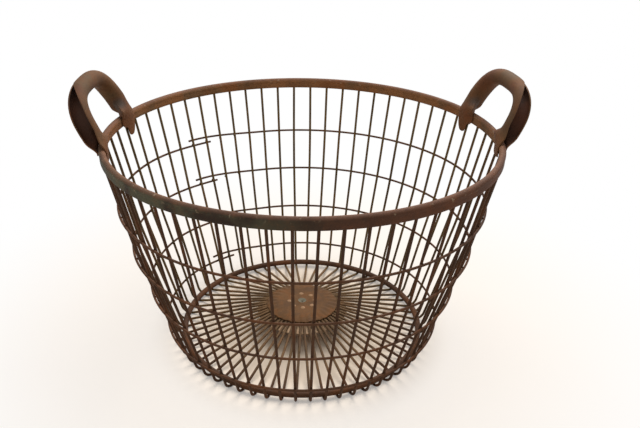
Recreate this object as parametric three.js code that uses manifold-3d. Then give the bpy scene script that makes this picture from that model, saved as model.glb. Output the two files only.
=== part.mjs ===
// Round wire harvest basket: folded rim, bent wire ribs, lapped hoops, base ring and two rolled handles.
// Millimetres, +Z up, origin on the ground under the centre of the basket.

import * as THREE from 'three';
import { mergeVertices } from 'three/addons/utils/BufferGeometryUtils.js';
import Module from 'manifold-3d';

const wasm = await Module();
wasm.setup();

// Whole basket
const rimDiameter = 430;
const basketHeight = 250;
const fitGap = 0.3;

// Folded rim: a steel strip closed over the rib tops, with a round bead along its upper edge
const rimHeight = 12.5;
const rimThickness = 7;
const rimCrease = 0.5;
const beadSteps = 5;

// Ribs: wires that run down the wall, turn under the base ring and meet the floor plates
const ribCount = 60;
const ribWire = 3;
const wallMidHeight = 129;
const wallMidRadius = 187.5;
const wallSlope = 16.8;
const bendRadius = 12;
const bendSteps = 2;
const floorSlope = 15;
const ribEndRadius = 32;
const pairEndSpacing = 2.5;

// Hoops: thin wires round the outside of the ribs, each with lapped ends
const hoopCount = 4;
const hoopWire = 2.6;
const lowestHoopHeight = 27;
const hoopSpacing = 51;
const lapAzimuth = 128.5;
const lapLength = 32;
const lapEase = 30;
const lapUpperRise = 5;
const lapLowerDrop = 2.5;

// Base ring: a heavier rod lying in the corner between wall and floor
const ringRod = 6.8;
const ringOutset = 1.3;
const ringSegments = 40;

// Floor plates: two pressed discs that hold the inner ends of the ribs between them
const plateSheet = 1.2;
const plateSegments = 24;
const upperPlateRadius = 42;
const lowerPlateRadius = 54;
const plateHole = 11;
const collarWall = 1.5;
const dimpleCount = 8;
const dimpleCircle = 31;
const dimpleWidth = 4.4;
const dimpleHeight = 0.9;

// Handles: sheet blanks rolled into a tube at the grip, opening to gutters whose ends fork over the rim
const handleAzimuth = 3.75;
const handleLean = 27.7;
const handleHalfSpan = 56.4;
const handleRise = 50.6;
const archPower = 2.95;
const handleFootRise = 4;
const footBend = 8;
const gripRadius = 8.4;
const gripSheet = 1.4;
const innerWrap = 213;
const innerLegWrap = 130;
const outerWrap = 145;
const outerLegWrap = 96;
const legFlare = 3.4;
const forkClearance = 0.7;
const webClearance = 1.3;
const lobeReach = 20;
const lobeBow = 1.6;
const tongueReach = 9;
const prongReach = 9;
const prongDrop = 7;
const lobeDrop = 1;
const tongueDrop = 13;
const archRows = 7;
const footRows = 3;

// Values that follow from the sizes above
const radians = Math.PI / 180;
const ribStep = 2 * Math.PI / ribCount;
const rimRadius = rimDiameter / 2;
const rimBottom = basketHeight - rimHeight;
const beadRadius = rimThickness / 2;
const wireCorner = 1.1;
const ribCorner = ribWire / 2 * wireCorner;
const ribFlat = ribCorner * Math.cos(Math.PI / 6);
const hoopCorner = hoopWire / 2 * wireCorner;
const ringCorner = ringRod / 2 / Math.cos(Math.PI / 8);
const wallTopRadius = rimRadius - beadRadius;

// A path through given stations, with a fixed side direction for the section
class StationPath extends THREE.Curve {
  constructor(stations, side) {
    super();
    this.stations = stations;
    this.side = side;
  }

  getPoint(t) {
    const place = t * (this.stations.length - 1);
    const index = Math.min(Math.floor(place), this.stations.length - 2);
    return this.stations[index].clone().lerp(this.stations[index + 1], place - index);
  }

  getPointAt(u) {
    return this.getPoint(u);
  }

  computeFrenetFrames(steps) {
    const frames = { tangents: [], normals: [], binormals: [] };
    for (let i = 0; i <= steps; i += 1) {
      const before = this.stations[Math.max(i - 1, 0)];
      const here = this.stations[i];
      const after = this.stations[Math.min(i + 1, steps)];
      const tangent = new THREE.Vector3();
      if (i > 0) {
        tangent.add(here.clone().sub(before).normalize());
      }
      if (i < steps) {
        tangent.add(after.clone().sub(here).normalize());
      }
      tangent.normalize();
      const normal = this.side.clone().cross(tangent).normalize();
      frames.tangents.push(tangent);
      frames.normals.push(normal);
      frames.binormals.push(tangent.clone().cross(normal));
    }
    return frames;
  }
}

function hexagon(corner) {
  const shape = new THREE.Shape();
  for (let i = 0; i < 6; i += 1) {
    const angle = Math.PI / 6 + i * Math.PI / 3;
    const x = corner * Math.cos(angle);
    const y = corner * Math.sin(angle);
    if (i === 0) {
      shape.moveTo(x, y);
    } else {
      shape.lineTo(x, y);
    }
  }
  shape.closePath();
  return shape;
}

function wire(stations, side, corner) {
  const path = new StationPath(stations, side);
  const options = { steps: stations.length - 1, bevelEnabled: false, extrudePath: path };
  return new THREE.ExtrudeGeometry(hexagon(corner), options);
}

// Joining and cutting of closed geometries
function toSolid(geometry) {
  const plain = geometry.clone();
  plain.deleteAttribute('normal');
  plain.deleteAttribute('uv');
  const merged = mergeVertices(plain, 1e-4);
  const vertProperties = Float32Array.from(merged.attributes.position.array);
  const triVerts = Uint32Array.from(merged.index.array);
  return new wasm.Manifold(new wasm.Mesh({ numProp: 3, vertProperties, triVerts }));
}

function toGeometry(solid) {
  const mesh = solid.getMesh();
  const geometry = new THREE.BufferGeometry();
  geometry.setAttribute('position', new THREE.BufferAttribute(Float32Array.from(mesh.vertProperties), 3));
  geometry.setIndex(new THREE.BufferAttribute(Uint32Array.from(mesh.triVerts), 1));
  geometry.computeVertexNormals();
  return geometry;
}

// Turned pieces: a closed profile of [radius, height] points about the Z axis
function turned(profile, segments) {
  const points = profile.map(([radius, height]) => new THREE.Vector2(radius, height));
  points.push(points[0].clone());
  return new THREE.LatheGeometry(points, segments).rotateX(Math.PI / 2);
}

const steel = (colour, roughness) => new THREE.MeshStandardMaterial({ color: colour, roughness, metalness: 0.6 });
const ribSteel = steel(0x4a3428, 0.72);
const hoopSteel = steel(0x5a4330, 0.72);
const rimSteel = steel(0x5f4836, 0.66);
const plateSteel = steel(0x75563c, 0.74);
const gripSteel = steel(0x644a39, 0.6);

const basket = new THREE.Group();
basket.name = 'harvest_basket';

function place(parent, name, geometry, material, azimuth = 0) {
  const mesh = new THREE.Mesh(geometry, material);
  mesh.name = name;
  mesh.rotation.z = azimuth;
  parent.add(mesh);
  return mesh;
}

// Wall and floor lines of a rib, as radius and height
const slope = Math.tan(wallSlope * radians);
const upperSlope = (wallTopRadius - wallMidRadius) / (rimBottom - wallMidHeight);
const rise = Math.tan(floorSlope * radians);
const bendCentreHeight = bendRadius * Math.cos(floorSlope * radians) + ribFlat;
const wallNormal = bendRadius / Math.cos(wallSlope * radians);
const bendCentreRadius = wallMidRadius - (wallMidHeight - bendCentreHeight) * slope - wallNormal;
const floorStartRadius = bendCentreRadius - bendRadius * Math.sin(floorSlope * radians);

function wallRadius(height) {
  const step = height - wallMidHeight;
  return wallMidRadius + step * (step > 0 ? upperSlope : slope);
}

function floorHeight(radius) {
  return ribFlat + (floorStartRadius - radius) * rise;
}

// Rim
const slotIn = wallTopRadius - ribFlat - fitGap;
const slotOut = wallTopRadius + ribFlat + fitGap;
const slotTop = basketHeight - beadRadius;
const creaseAngle = Math.acos((beadRadius - rimCrease) / beadRadius);
const rimProfile = [[rimRadius - rimCrease, rimBottom]];
for (let i = 0; i <= beadSteps; i += 1) {
  const angle = -creaseAngle + i * (Math.PI + 2 * creaseAngle) / beadSteps;
  const radius = wallTopRadius + beadRadius * Math.cos(angle);
  rimProfile.push([radius, slotTop + beadRadius * Math.sin(angle)]);
}
rimProfile.push([rimRadius - rimThickness + rimCrease, rimBottom]);
rimProfile.push([slotIn, rimBottom]);
rimProfile.push([slotIn, slotTop - fitGap]);
rimProfile.push([slotOut, slotTop - fitGap]);
rimProfile.push([slotOut, rimBottom]);
place(basket, 'rim', turned(rimProfile, ribCount), rimSteel);

// Ribs, joined at their inner ends in neighbouring pairs
const profileLine = [[wallTopRadius, slotTop - 2 * fitGap]];
profileLine.push([wallTopRadius, rimBottom]);
profileLine.push([wallMidRadius, wallMidHeight]);
const bendStart = 90 - wallSlope;
for (let i = 0; i <= bendSteps; i += 1) {
  const angle = (bendStart + (floorSlope - bendStart) * i / bendSteps) * radians;
  const radius = bendCentreRadius + bendRadius * Math.sin(angle);
  profileLine.push([radius, bendCentreHeight - bendRadius * Math.cos(angle)]);
}
profileLine.push([floorStartRadius, ribFlat]);

function ribGeometry(sign) {
  const azimuth = sign * ribStep / 2;
  const out = new THREE.Vector3(Math.cos(azimuth), Math.sin(azimuth), 0);
  const side = new THREE.Vector3(-Math.sin(azimuth), Math.cos(azimuth), 0);
  const stations = profileLine.map(([radius, height]) => out.clone().multiplyScalar(radius).setZ(height));
  stations.push(new THREE.Vector3(ribEndRadius, sign * pairEndSpacing / 2, floorHeight(ribEndRadius)));
  return wire(stations, side, ribCorner);
}

const pairGeometry = toGeometry(toSolid(ribGeometry(-1)).add(toSolid(ribGeometry(1))));
const ribs = new THREE.Group();
basket.add(ribs);
for (let i = 0; i < ribCount / 2; i += 1) {
  const name = `rib_pair_${String(i + 1).padStart(2, '0')}`;
  place(ribs, name, pairGeometry, ribSteel, (2 * i + 0.5) * ribStep);
}

// Hoops
const up = new THREE.Vector3(0, 0, 1);

function hoopGeometry(height) {
  const stand = (ribFlat + hoopCorner + fitGap) / Math.cos(wallSlope * radians);
  const lap = lapLength / (wallRadius(height) + stand);
  const start = lapAzimuth * radians - lap / 2;
  const finish = start + 2 * Math.PI + lap;
  const angles = [start];
  for (let i = Math.ceil(start / ribStep + 0.2); i * ribStep < finish - 0.2 * ribStep; i += 1) {
    angles.push(i * ribStep);
  }
  angles.push(finish);
  const stations = angles.map((angle) => {
    const low = 1 - THREE.MathUtils.smoothstep(angle - start, 0, lapEase * radians);
    const high = 1 - THREE.MathUtils.smoothstep(finish - angle, 0, lapEase * radians);
    const level = height + high * lapUpperRise - low * lapLowerDrop;
    const radius = wallRadius(level) + stand;
    return new THREE.Vector3(radius * Math.cos(angle), radius * Math.sin(angle), level);
  });
  return wire(stations, up, hoopCorner);
}

const hoops = new THREE.Group();
basket.add(hoops);
for (let i = 0; i < hoopCount; i += 1) {
  const height = lowestHoopHeight + (hoopCount - 1 - i) * hoopSpacing;
  place(hoops, `hoop_${i + 1}`, hoopGeometry(height), hoopSteel);
}

// Base ring
const ringProfile = [];
const ringHeight = 2 * ribFlat + fitGap + ringRod / 2;
for (let i = 0; i < 8; i += 1) {
  const angle = (i + 0.5) * Math.PI / 4;
  const radius = bendCentreRadius + ringOutset + ringCorner * Math.cos(angle);
  ringProfile.push([radius, ringHeight + ringCorner * Math.sin(angle)]);
}
place(basket, 'base_ring', turned(ringProfile, ringSegments), hoopSteel);

// Floor plates
const wireStand = ribCorner / Math.cos(floorSlope * radians) + fitGap;
const plateFlatRadius = ribEndRadius - fitGap;
const upperUnder = (radius) => floorHeight(radius) + wireStand;
const lowerOver = (radius) => floorHeight(radius) - wireStand;
const holeRadius = plateHole / 2;
const collarRadius = holeRadius + collarWall;
const crownUnder = upperUnder(plateFlatRadius);
const crownTop = crownUnder + plateSheet;
const seatTop = lowerOver(plateFlatRadius);
const upperProfile = [
  [holeRadius, seatTop + fitGap],
  [collarRadius, seatTop + fitGap],
  [collarRadius, crownUnder],
  [plateFlatRadius, crownUnder],
  [upperPlateRadius, upperUnder(upperPlateRadius)],
  [upperPlateRadius, upperUnder(upperPlateRadius) + plateSheet],
  [plateFlatRadius, crownTop],
  [holeRadius, crownTop],
];
let upperPlate = toSolid(turned(upperProfile, plateSegments));
for (let i = 0; i < dimpleCount; i += 1) {
  const dimple = new THREE.CylinderGeometry(dimpleWidth / 4, dimpleWidth / 2, dimpleHeight + plateSheet / 2, 8);
  dimple.rotateX(Math.PI / 2);
  dimple.translate(dimpleCircle / 2, 0, crownTop + dimpleHeight / 2 - plateSheet / 4);
  dimple.rotateZ(i * 2 * Math.PI / dimpleCount);
  upperPlate = upperPlate.add(toSolid(dimple));
}
const lowerProfile = [
  [holeRadius, seatTop - plateSheet],
  [plateFlatRadius, seatTop - plateSheet],
  [lowerPlateRadius, lowerOver(lowerPlateRadius) - plateSheet],
  [lowerPlateRadius, lowerOver(lowerPlateRadius)],
  [plateFlatRadius, seatTop],
  [holeRadius, seatTop],
];
const plates = new THREE.Group();
basket.add(plates);
place(plates, 'floor_plate_upper', toGeometry(upperPlate), plateSteel);
place(plates, 'floor_plate_lower', turned(lowerProfile, plateSegments), plateSteel);

// Handles: a flat blank whose length follows the arch and whose width is rolled round the grip
const lean = handleLean * radians;
const footAzimuth = Math.asin(handleHalfSpan / wallTopRadius);
const bendShift = footBend * (1 - Math.cos(lean)) / lean;
const bendDrop = footBend * Math.sin(lean) / lean;
const footRadius = wallTopRadius * Math.cos(footAzimuth) + bendShift;
const footHeight = basketHeight + handleFootRise;

// Ends of the blank below the rim's top: outer prong, web over the rim, inner lobe and tongue
const lobeEnd = -rimHeight - lobeDrop;
const tongueEnd = -rimHeight - tongueDrop;
const footEdge = [
  -0.35 * prongDrop, -0.8 * prongDrop, -prongDrop, -prongDrop, -0.9 * prongDrop, -0.6 * prongDrop,
  webClearance, webClearance, 0.8 * lobeEnd, lobeEnd, lobeEnd,
  lobeEnd - 0.08 * tongueDrop, tongueEnd + 0.35 * tongueDrop, tongueEnd, tongueEnd, tongueEnd + 0.25 * tongueDrop,
  tongueEnd + 0.8 * tongueDrop,
];
const blankAcross = footEdge.length - 1;
const blankRows = archRows + footRows;

function archPoint(theta) {
  const sideways = handleHalfSpan * Math.sin(theta) ** (2 / archPower);
  return new THREE.Vector2(sideways, handleRise * Math.max(Math.cos(theta), 0) ** (2 / archPower));
}

// Angles at equal distances along half of the arch
const archSamples = 400;
const archLengths = [0];
for (let i = 1; i <= archSamples; i += 1) {
  const here = archPoint(i / archSamples * Math.PI / 2);
  archLengths.push(archLengths[i - 1] + here.distanceTo(archPoint((i - 1) / archSamples * Math.PI / 2)));
}
const archLength = archLengths[archSamples];

function archAngle(distance) {
  const index = archLengths.findIndex((reached) => reached >= distance - 1e-9);
  if (index < 1) {
    return index === 0 ? 0 : Math.PI / 2;
  }
  const before = archLengths[index - 1];
  const part = (distance - before) / (archLengths[index] - before);
  return (index - 1 + part) / archSamples * Math.PI / 2;
}

// Point and frame at a distance from the middle of the grip, on the side of the given sign
function handleFrame(side, along, tail) {
  const theta = archAngle(along);
  const [sideways, reach] = archPoint(theta).toArray();
  const turn = Math.min(tail / footBend, 1);
  const tilt = lean * (1 - turn);
  const twist = footAzimuth * turn;
  const centre = new THREE.Vector3(footRadius, side * sideways, footHeight);
  centre.x += reach * Math.sin(lean) - footBend * (Math.cos(tilt) - Math.cos(lean)) / lean;
  centre.z += reach * Math.cos(lean) - footBend * (Math.sin(lean) - Math.sin(tilt)) / lean;
  centre.z -= Math.max(tail - footBend, 0);
  const across = new THREE.Vector3(-Math.cos(twist), -side * Math.sin(twist), 0);
  across.multiplyScalar(Math.cos(tilt)).setZ(Math.sin(tilt));
  const rising = (reach / handleRise) ** (archPower - 1) / handleRise;
  const outward = new THREE.Vector3(Math.sin(lean), 0, Math.cos(lean)).multiplyScalar(rising);
  outward.y = side * (sideways / handleHalfSpan) ** (archPower - 1) / handleHalfSpan;
  if (tail > 0) {
    outward.set(-Math.sin(twist), side * Math.cos(twist), 0);
  }
  return { centre, across, outward: outward.normalize() };
}

// Section of the roll: a circle with a seam that opens along the legs, pressed to both faces of the rim
const forkHalf = beadRadius + forkClearance + gripSheet / 2;
const innerStart = 2 * 7 / blankAcross - 1;
const outerStart = 2 * 6 / blankAcross - 1;

function sectionPoint(across, part, along) {
  const inner = across >= 0;
  const opened = THREE.MathUtils.smoothstep(part, 0.08, inner ? 0.78 : 0.8);
  const wrap = inner ? innerWrap : outerWrap;
  const legWrap = inner ? innerLegWrap : outerLegWrap;
  const angle = across * THREE.MathUtils.lerp(wrap, legWrap, opened) * radians;
  const flare = inner ? 0 : legFlare * THREE.MathUtils.smoothstep(part, 0.35, 0.8);
  const round = new THREE.Vector2((gripRadius + flare) * Math.sin(angle), -gripRadius * Math.cos(angle));
  const innerPress = THREE.MathUtils.smoothstep(along, -2.25 * footBend, 0.375 * footBend);
  const outerPress = THREE.MathUtils.smoothstep(along, -1.5 * footBend, 0.875 * footBend);
  if (across >= innerStart) {
    const place = (across - innerStart) / (1 - innerStart);
    const bow = lobeBow * (1 - (2 * place - 1) ** 2);
    const reach = (lobeReach + tongueReach) * place - lobeReach;
    return round.lerp(new THREE.Vector2(forkHalf + bow, reach), innerPress);
  }
  if (across <= outerStart) {
    const place = (outerStart - across) / (1 + outerStart);
    return round.lerp(new THREE.Vector2(-forkHalf, prongReach * (2 * place - 1)), outerPress);
  }
  const place = (innerStart - across) / (innerStart - outerStart);
  const press = THREE.MathUtils.lerp(innerPress, outerPress, place);
  const web = new THREE.Vector2(forkHalf, -lobeReach).lerp(new THREE.Vector2(-forkHalf, -prongReach), place);
  return round.lerp(web, press);
}

function blankPoint(across, row, layer) {
  const side = Math.sign(row) || 1;
  const along = Math.min(Math.abs(row) / archRows, 1) * archLength;
  const drop = handleFootRise - footEdge[Math.round((across + 1) / 2 * blankAcross)];
  const tailLength = drop < bendDrop ? footBend * drop / bendDrop : footBend + drop - bendDrop;
  const tail = Math.max(Math.abs(row) - archRows, 0) / footRows * tailLength;
  const part = along / archLength;
  const past = along - archLength + tail;
  const { centre, across: inward, outward } = handleFrame(side, along, tail);
  const before = sectionPoint(across - 0.01, part, past);
  const after = sectionPoint(across + 0.01, part, past);
  const step = after.sub(before).normalize();
  const middle = sectionPoint(across, part, past);
  centre.addScaledVector(inward, middle.x + layer * step.y);
  centre.addScaledVector(outward, middle.y - layer * step.x);
  return centre;
}

function handleGeometry() {
  const blank = new THREE.BoxGeometry(2, 2, 2, blankAcross, 1, 2 * blankRows);
  const places = blank.attributes.position;
  for (let i = 0; i < places.count; i += 1) {
    const layer = places.getY(i) * gripSheet / 2;
    const point = blankPoint(-places.getX(i), Math.round(places.getZ(i) * blankRows), layer);
    places.setXYZ(i, point.x, point.y, point.z);
  }
  return blank;
}

const handle = toGeometry(toSolid(handleGeometry()));
const handles = new THREE.Group();
basket.add(handles);
place(handles, 'handle_right', handle, gripSteel, handleAzimuth * radians);
place(handles, 'handle_left', handle, gripSteel, Math.PI - handleAzimuth * radians);

export default basket;
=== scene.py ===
import math
import random
from functools import cached_property

import bmesh
import bpy
from bpy.props import FloatProperty, FloatVectorProperty, IntProperty, PointerProperty
from mathutils import Matrix, Vector


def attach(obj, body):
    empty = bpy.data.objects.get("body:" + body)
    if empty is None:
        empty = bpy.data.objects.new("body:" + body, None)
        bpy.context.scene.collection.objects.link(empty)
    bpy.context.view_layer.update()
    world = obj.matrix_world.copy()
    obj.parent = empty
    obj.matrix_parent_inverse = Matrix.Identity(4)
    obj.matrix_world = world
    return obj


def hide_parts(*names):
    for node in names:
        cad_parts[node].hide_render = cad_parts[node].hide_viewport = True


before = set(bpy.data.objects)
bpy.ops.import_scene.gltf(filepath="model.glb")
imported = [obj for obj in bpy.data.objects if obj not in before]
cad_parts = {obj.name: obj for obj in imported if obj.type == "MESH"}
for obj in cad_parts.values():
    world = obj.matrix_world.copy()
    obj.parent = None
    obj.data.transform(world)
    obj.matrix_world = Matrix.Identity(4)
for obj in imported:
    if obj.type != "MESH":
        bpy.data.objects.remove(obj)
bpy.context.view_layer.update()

bl_info = {
    "name": "Wire harvest basket",
    "version": (1, 0, 0),
    "blender": (4, 5, 0),
    "location": "3D View > Sidebar > Basket",
    "description": "Builds a rusted wire harvest basket with rolled sheet handles on its packed frame",
    "category": "Add Mesh",
}


def linear(red, green, blue):
    """A colour given as it looks on screen, 0 to 255, in the linear values that the shaders use."""
    out = []
    for level in (red, green, blue):
        level /= 255
        out.append(level / 12.92 if level <= 0.04045 else ((level + 0.055) / 1.055) ** 2.4)
    return tuple(out)


def length(name, description, default):
    return FloatProperty(name=name, description=description, default=default, min=0.0, unit='LENGTH', precision=5)


def turn(name, description, default):
    return FloatProperty(name=name, description=description, default=math.radians(default), subtype='ANGLE')


def colour(name, description, *levels):
    return FloatVectorProperty(
        name=name, description=description, default=linear(*levels), size=3, min=0.0, max=1.0, subtype='COLOR'
    )


class BasketSizes(bpy.types.PropertyGroup):
    """Sizes of the basket, in metres"""

    rim_radius: length("Rim radius", "Outside radius of the folded rim", 0.215)
    rim_top: length("Rim top", "Height of the rim's upper edge", 0.25)
    rim_height: length("Rim height", "Depth of the folded strip", 0.0125)
    rim_thickness: length("Rim thickness", "Width over the folded strip", 0.007)
    rim_sheet: length("Rim sheet", "Sheet that the rim is folded from", 0.0011)
    rim_crease: length("Rim crease", "How far the flat sides sit inside the round bead", 0.0005)
    rib_count: IntProperty(name="Ribs", description="Upright wires round the wall", default=60, min=12)
    rib_wire: length("Rib wire", "Diameter of the upright wires", 0.003)
    wall_mid_height: length("Wall knee height", "Height at which the wall gets steeper", 0.129)
    wall_mid_radius: length("Wall knee radius", "Radius of the rib wires at the knee", 0.1875)
    wall_slope: turn("Lower wall slope", "Lean of the lower wall from upright", 16.8)
    rib_bend: length("Rib bend", "Radius of the bend from wall to floor", 0.012)
    floor_slope: turn("Floor slope", "Rise of the floor wires to the middle", 15.0)
    rib_end_radius: length("Rib end radius", "Where the floor wires end between the plates", 0.032)
    pair_spacing: length("Pair spacing", "Distance between the two inner ends of a pair of ribs", 0.0025)
    hoop_wire: length("Hoop wire", "Diameter of the hoops", 0.0026)
    lowest_hoop: length("Lowest hoop", "Height of the lowest hoop", 0.027)
    hoop_spacing: length("Hoop spacing", "Distance from hoop to hoop", 0.051)
    lap_place: turn("Lap place", "Direction of the lapped hoop ends", 128.5)
    lap_length: length("Lap length", "Overlap of the hoop ends", 0.032)
    lap_rise: length("Lap rise", "How far the upper end stands above its hoop", 0.005)
    lap_drop: length("Lap drop", "How far the lower end hangs below its hoop", 0.0025)
    ring_rod: length("Ring rod", "Diameter of the base ring's rod", 0.0068)
    ring_radius: length("Ring radius", "Radius of the base ring", 0.14125)
    ring_height: length("Ring height", "Height of the middle of the base ring", 0.0065)
    plate_sheet: length("Plate sheet", "Thickness of the floor plates", 0.0012)
    upper_plate_radius: length("Upper plate radius", "Edge of the upper floor plate", 0.042)
    lower_plate_radius: length("Lower plate radius", "Edge of the lower floor plate", 0.054)
    plate_hole: length("Plate hole", "Diameter of the hole in the floor plates", 0.011)
    dimple_circle: length("Dimple circle", "Diameter of the ring of dimples", 0.031)
    dimple_width: length("Dimple width", "Diameter of a dimple", 0.0052)
    dimple_height: length("Dimple height", "Height of a dimple", 0.0011)
    handle_place: turn("Handle place", "How far both handles sit behind the middle line", 3.75)
    handle_lean: turn("Handle lean", "Lean of the handles from upright", 27.7)
    handle_half_span: length("Handle half span", "From the middle of a handle to its leg", 0.0564)
    handle_rise: length("Handle rise", "From the feet to the crown of a handle", 0.0506)
    handle_power: FloatProperty(
        name="Handle power", description="How square the handle's arch is, 2 for an ellipse", default=2.95, min=2.0
    )
    foot_rise: length("Foot rise", "From the rim's top to where a leg starts to turn upright", 0.004)
    foot_bend: length("Foot bend", "Length of the turn at the end of a leg", 0.008)
    grip_radius: length("Grip radius", "Radius of the rolled grip", 0.0084)
    grip_sheet: length("Grip sheet", "Sheet that the handles are rolled from", 0.0014)
    inner_wrap: turn("Inner wrap", "How far the inner half is rolled at the crown", 213.0)
    inner_leg_wrap: turn("Inner leg wrap", "How far the inner half is rolled on the legs", 130.0)
    outer_wrap: turn("Outer wrap", "How far the outer half is rolled at the crown", 145.0)
    outer_leg_wrap: turn("Outer leg wrap", "How far the outer half is rolled on the legs", 96.0)
    leg_flare: length("Leg flare", "How far the outer wall of a leg stands out", 0.0034)
    fork_gap: length("Fork gap", "Room between the fork and the rim", 0.0002)
    prong_pinch: length("Prong pinch", "How far the outer prong is pinched against the rim's bead", 0.0005)
    web_gap: length("Web gap", "Room between the fork's web and the rim's top", 0.0003)
    lobe_reach: length("Lobe reach", "Along the rim from the leg to the end of the inner lobe", 0.020)
    lobe_bow: length("Lobe bow", "How far the inner lobe bulges off the rim", 0.0016)
    tongue_reach: length("Tongue reach", "Along the rim from the leg to the edge of the tongue", 0.009)
    prong_reach: length("Prong reach", "Along the rim from the leg to the edges of the outer prong", 0.009)
    prong_drop: length("Prong drop", "How far the outer prong reaches down the rim", 0.008)
    lobe_drop: length("Lobe drop", "How far the inner lobe reaches below the rim", 0.001)
    tongue_drop: length("Tongue drop", "How far the tongue reaches below the rim", 0.013)
    front_tongue_drop: length("Front tongue drop", "How far the tongue of a front foot hangs below the rim", 0.0015)


class BasketColours(bpy.types.PropertyGroup):
    """Colours of the basket's rust and patina"""

    rim_outside: colour("Rim outside", "Dark olive skin on the outside of the rim", 46, 34, 25)
    rim_red: colour("Rim red", "Red rust on the right of the rim's outside", 94, 58, 39)
    rim_chip: colour("Rim chips", "Pale chips along the rim's bead", 150, 134, 112)
    rim_inside: colour("Rim inside", "Brown rust on the inside of the rim", 133, 91, 57)
    # The lighter brown along the top of the bead is a painted highlight.
    rim_bead_highlight: colour("Rim bead", "Rubbed brown along the rim's top", 96, 66, 50)
    # The front wires' darker skin is painted shade, the back wires' lighter skin painted light.
    rib_skin: colour("Rib skin", "Reddish brown skin of the rib wires at the front", 72, 47, 29)
    # The floor wires' lighter tan is painted light from above.
    rib_floor_lit: colour("Rib floor", "Dusty tan skin of the rib wires in the floor", 112, 86, 58)
    rib_back_lit: colour("Rib back", "Olive brown skin of the rib wires at the back", 98, 79, 48)
    hoop_skin: colour("Hoop skin", "Redder skin of the hoops", 81, 52, 32)
    plate_skin: colour("Plate skin", "Brown skin of the floor plates", 91, 61, 31)
    eyelet_skin: colour("Eyelet", "Grey zinc of the rivet in the middle of the floor plates", 100, 99, 85)
    # The dimples' lighter colour is a painted highlight.
    dimple_highlight: colour("Dimples", "Rubbed tops of the dimples in the upper floor plate", 146, 114, 84)
    # The lower plate's light tan is painted light, where it lies in shade under the upper plate and wires.
    low_plate_painted_light: colour("Lower plate", "Dusty upper face of the lower floor plate", 158, 130, 102)
    grip_skin: colour("Grip skin", "Brown skin of the handles", 89, 59, 34)
    grip_light: colour("Grip light", "Lighter rubbed clouds on the handles", 100, 69, 43)
    grip_dull: colour("Grip olive", "Dull olive clouds on the handles", 84, 68, 46)
    grip_red: colour("Grip red", "Red rust clouds on the handles", 90, 50, 33)
    grip_stain: colour("Grip stain", "Bluish stain at the foot of each back leg", 50, 54, 52)
    # The hollow's darker colour is partly dirt and partly painted shade.
    grip_hollow_dirt_and_shade: colour("Grip hollow", "Dark inside of the rolled handles", 68, 37, 21)
    dark_scale: colour("Dark scale", "Near-black scale in the pits", 36, 24, 16)
    bright_rust: colour("Bright rust", "Orange rust in patches", 112, 64, 30)
    green_tarnish: colour("Green tarnish", "Greenish grey film on old steel", 78, 78, 60)
    # This darker floor colour, left unfaded under the basket, is painted shade there.
    floor_tint: colour("Floor", "Pale floor under the basket", 218, 201, 181)


# Modelling helpers

def clear_selection():
    """Leaves edit mode and lets go of everything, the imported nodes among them."""
    if bpy.context.object is not None and bpy.context.object.mode != 'OBJECT':
        bpy.ops.object.mode_set(mode='OBJECT')
    bpy.ops.object.select_all(action='DESELECT')


def take(piece):
    """Makes a piece the only selected and active one."""
    clear_selection()
    piece.select_set(True)
    bpy.context.view_layer.objects.active = piece
    return piece


def fresh(name):
    """Names the primitive that was just added and puts its place into its mesh."""
    piece = bpy.context.active_object
    piece.name = name
    piece.data.name = name
    bpy.ops.object.transform_apply(location=True, rotation=True, scale=True)
    return piece


def edit_all(piece, mode='VERT'):
    """Opens a piece in edit mode with all of it selected."""
    take(piece)
    bpy.ops.object.mode_set(mode='EDIT')
    bpy.ops.mesh.select_mode(type=mode)
    bpy.ops.mesh.select_all(action='SELECT')


def pick_faces(piece, wanted):
    """Selects the faces of the piece in edit mode whose middle passes the test."""
    bpy.ops.mesh.select_mode(type='FACE')
    bpy.ops.mesh.select_all(action='DESELECT')
    skin = bmesh.from_edit_mesh(piece.data)
    picked = 0
    for face in skin.faces:
        if wanted(face.calc_center_median()):
            face.select_set(True)
            picked += 1
    bmesh.update_edit_mesh(piece.data)
    if not picked:
        raise RuntimeError(f"{piece.name}: no face there to work on")


def draw_on(value):
    """Extrudes what is selected by a distance."""
    bpy.ops.mesh.extrude_region_move(TRANSFORM_OT_translate={"value": tuple(value)})


def swing(steps, angle, centre, axis):
    """Spins what is selected. The operator turns against the right hand, so the angle is turned round."""
    bpy.ops.mesh.spin(steps=steps, angle=-angle, center=tuple(centre), axis=tuple(axis))


def tidy_skin(piece):
    """Merges doubled points and turns the faces outwards, then leaves edit mode."""
    bpy.ops.mesh.select_mode(type='VERT')
    bpy.ops.mesh.select_all(action='SELECT')
    bpy.ops.mesh.remove_doubles(threshold=2e-6)
    bpy.ops.mesh.normals_make_consistent(inside=False)
    bpy.ops.object.mode_set(mode='OBJECT')
    return piece


def turned_line(name, line, steps):
    """A line of (radius, height) points, drawn point by point and spun once round the upright axis."""
    clear_selection()
    radius, height = line[0]
    bpy.ops.mesh.primitive_plane_add(size=0.001, location=(radius, 0, height))
    piece = fresh(name)
    edit_all(piece)
    bpy.ops.mesh.merge(type='CENTER')
    for (r0, z0), (r1, z1) in zip(line, line[1:]):
        draw_on((r1 - r0, 0, z1 - z0))
    bpy.ops.mesh.select_all(action='SELECT')
    swing(steps, 2 * math.pi, (0, 0, 0), (0, 0, 1))
    return tidy_skin(piece)


def thicken(piece, thickness, **more):
    """Gives a sheet its thickness, half to each side, with an applied Solidify."""
    take(piece)
    sheet = piece.modifiers.new("Sheet", 'SOLIDIFY')
    sheet.thickness = thickness
    sheet.offset = 0.0
    sheet.use_even_offset = True
    for key, value in more.items():
        setattr(sheet, key, value)
    bpy.ops.object.modifier_apply(modifier=sheet.name)


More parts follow.
